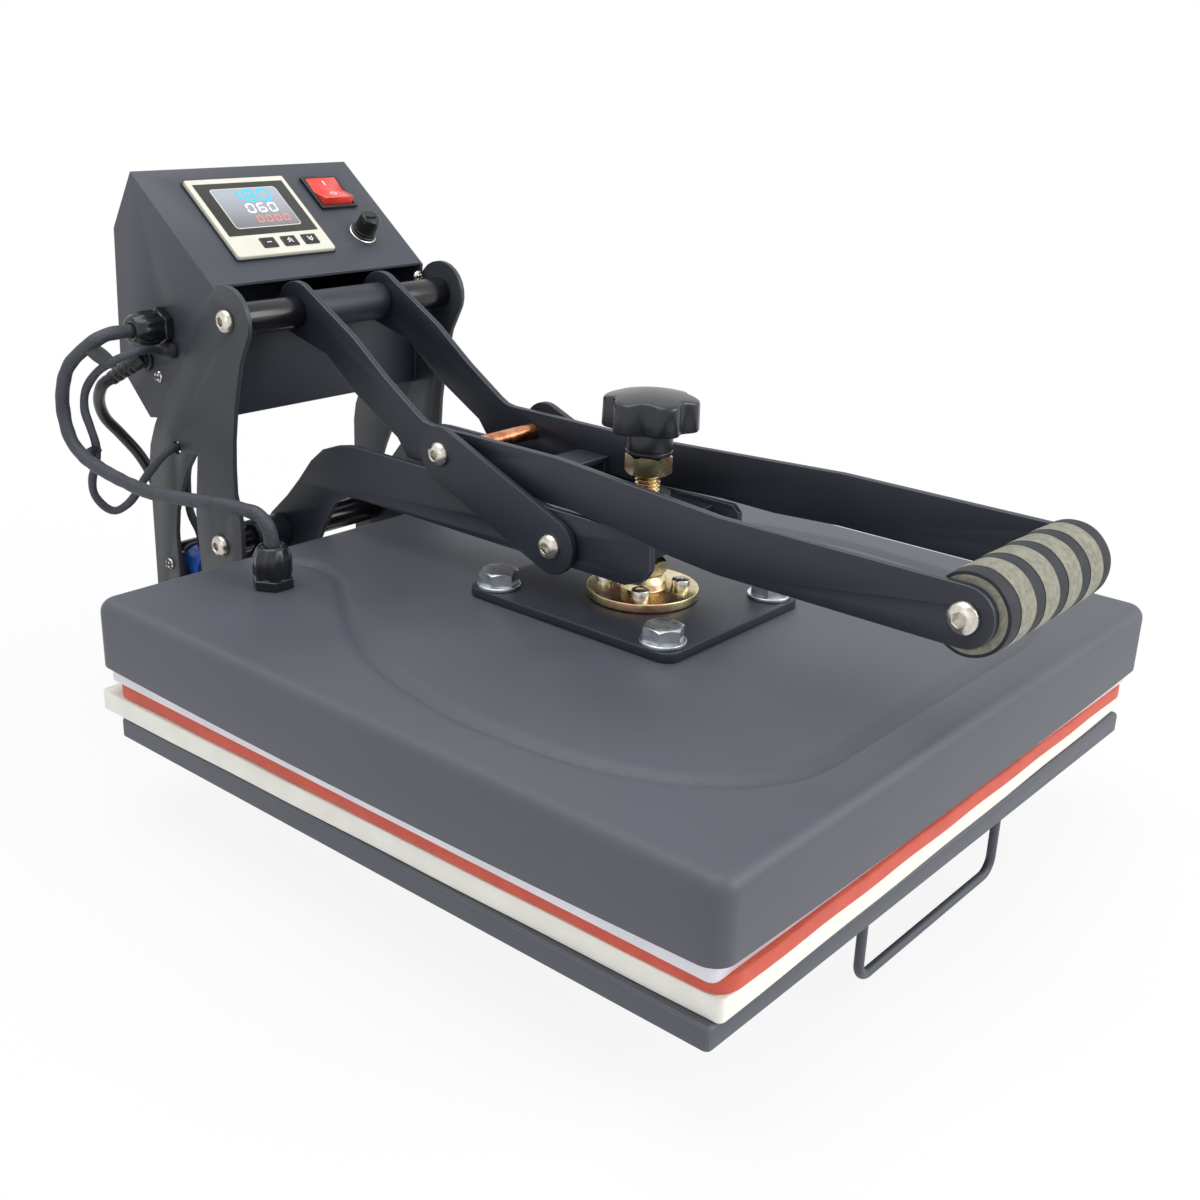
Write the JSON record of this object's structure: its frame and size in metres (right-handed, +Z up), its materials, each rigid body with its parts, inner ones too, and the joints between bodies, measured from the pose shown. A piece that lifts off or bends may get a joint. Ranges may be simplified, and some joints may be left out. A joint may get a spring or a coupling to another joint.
{
  "type": "flat heat press",
  "caption": "Clamshell flat heat press with a square platen, cranked toggle handle, pressure knob, pull-out padded drawer and a tilted control box.",
  "frame": {"origin": "middle of the press without its mains lead, on the bench under the feet", "axes": "+Z up, -Y towards the user and the pull handle, +X to the user's right"},
  "size_m": [0.408, 0.7037, 0.332],
  "materials": {
    "charcoal_coat": "fine textured powder coat, satin",
    "black_coat": "smooth powder coat, satin",
    "gloss_black": "gloss enamel",
    "black_plastic": "moulded, satin to gloss",
    "rubber": "matte",
    "nickel_steel": "nickel plated, slightly worn",
    "zinc_steel": "bright zinc",
    "yellow_zinc": "yellow chromate zinc with a faint rainbow",
    "copper_tone": "copper toned plating",
    "cream_board": "closed-cell foam board, matte",
    "red_silicone": "silicone rubber, matte",
    "coated_aluminium": "cast aluminium with a pale non-stick coat",
    "glass_wool": "fibrous",
    "olive_foam": "soft closed-cell foam",
    "cream_plastic": "moulded, satin",
    "red_plastic": "moulded, glossy",
    "winding_tape": "polyester tape",
    "lead_sleeve": "woven fibreglass sleeve",
    "black_pvc": "PVC sheath"
  },
  "bodies": {
    "frame": {"base_frame": "black_coat", "front_left_foot": "rubber", "front_right_foot": "rubber", "rear_left_foot": "rubber", "rear_right_foot": "rubber", "left_slide_channel": "zinc_steel", "right_slide_channel": "zinc_steel", "left_upright": "black_coat", "right_upright": "black_coat", "handle_shaft": "gloss_black", "carrier_shaft": "gloss_black", "box_cover": "charcoal_coat", "box_tray": "black_coat", "relay": "black_plastic", "controller": "cream_plastic", "power_switch": "black_plastic", "fuse_holder": "black_plastic", "box_gland": "black_plastic", "lead_grommet": "rubber", "mains_relief": "rubber", "magnet_core": "black_coat", "magnet_coil": "winding_tape", "heater_lead": "lead_sleeve", "magnet_lead": "lead_sleeve", "mains_lead": "black_pvc", "mains_coil": "black_pvc", "plug": "black_pvc"},
    "drawer": {"left_slide_runner": "zinc_steel", "right_slide_runner": "zinc_steel", "drawer_tray": "charcoal_coat", "foam_board": "cream_board", "silicone_mat": "red_silicone", "pull_handle": "charcoal_coat"},
    "carrier": {"left_carrier_plate": "black_coat", "right_carrier_plate": "black_coat", "pressure_block": "black_coat", "handle_rest": "black_coat", "armature": "black_coat"},
    "platen": {"platen": "coated_aluminium", "insulation": "glass_wool", "heater_cover": "charcoal_coat", "mounting_plate": "black_coat", "swivel_flange": "yellow_zinc", "cover_gland": "black_plastic"},
    "screw": {"pressure_screw": "yellow_zinc", "lock_nut": "yellow_zinc", "knob": "black_plastic"},
    "handle": {"left_handle_arm": "black_coat", "right_handle_arm": "black_coat", "handle_tube": "black_coat", "link_pin": "copper_tone", "grip_rod": "nickel_steel", "grip_foam": "olive_foam"},
    "links": {"left_link": "black_coat", "right_link": "black_coat"},
    "key_set": {"key_set": "black_plastic"},
    "key_up": {"key_up": "black_plastic"},
    "key_down": {"key_down": "black_plastic"},
    "rocker": {"rocker": "red_plastic"},
    "fuse_cap": {"fuse_cap": "black_plastic"}
  },
  "joints": [
    {"name": "drawer_slide", "type": "slide", "parent": "frame", "child": "drawer", "axis": [0, -1, 0], "range_m": [0, 0.3]},
    {"name": "carrier_hinge", "type": "hinge", "parent": "frame", "child": "carrier", "pos_m": [0, 0.19616, 0.1174], "axis": [-1, 0, 0], "range_deg": [0, 30], "deforming": ["heater_lead"]},
    {"name": "handle_hinge", "type": "hinge", "parent": "frame", "child": "handle", "pos_m": [0, 0.17886, 0.2568], "axis": [-1, 0, 0], "range_deg": [0, 63.9]},
    {"name": "link_hinge", "type": "hinge", "parent": "carrier", "child": "links", "pos_m": [0, -0.03664, 0.1645], "axis": [1, 0, 0], "range_deg": [0, 64.7]},
    {"name": "platen_lift", "type": "slide", "parent": "carrier", "child": "platen", "axis": [0, 0, 1], "range_m": [0, 0.005]},
    {"name": "pressure_turn", "type": "hinge", "parent": "platen", "child": "screw", "pos_m": [0, -0.06464, 0.1283], "axis": [0, 0, 1], "range_deg": [0, 900]},
    {"name": "key_set_press", "type": "slide", "parent": "frame", "child": "key_set", "axis": [0, 0.6101, -0.7923], "range_m": [0, 0.001], "stiffness_N_per_m": 400, "springref_m": -0.0005},
    {"name": "key_up_press", "type": "slide", "parent": "frame", "child": "key_up", "axis": [0, 0.6101, -0.7923], "range_m": [0, 0.001], "stiffness_N_per_m": 400, "springref_m": -0.0005},
    {"name": "key_down_press", "type": "slide", "parent": "frame", "child": "key_down", "axis": [0, 0.6101, -0.7923], "range_m": [0, 0.001], "stiffness_N_per_m": 400, "springref_m": -0.0005},
    {"name": "rocker_tilt", "type": "hinge", "parent": "frame", "child": "rocker", "pos_m": [0.049, 0.24861, 0.31402], "axis": [1, 0, 0], "range_deg": [0, 20]},
    {"name": "fuse_cap_turn", "type": "hinge", "parent": "frame", "child": "fuse_cap", "pos_m": [0.052, 0.21712, 0.29394], "axis": [0, -0.6101, 0.7923], "range_deg": [0, 90]}
  ],
  "couplings": [
    {"joint": "handle_hinge", "follows": "carrier_hinge", "ratio": 2.1298},
    {"joint": "link_hinge", "follows": "carrier_hinge", "ratio": 2.1562},
    {"joint": "pressure_turn", "follows": "platen_lift", "rad_per_m": 3141.6}
  ]
}
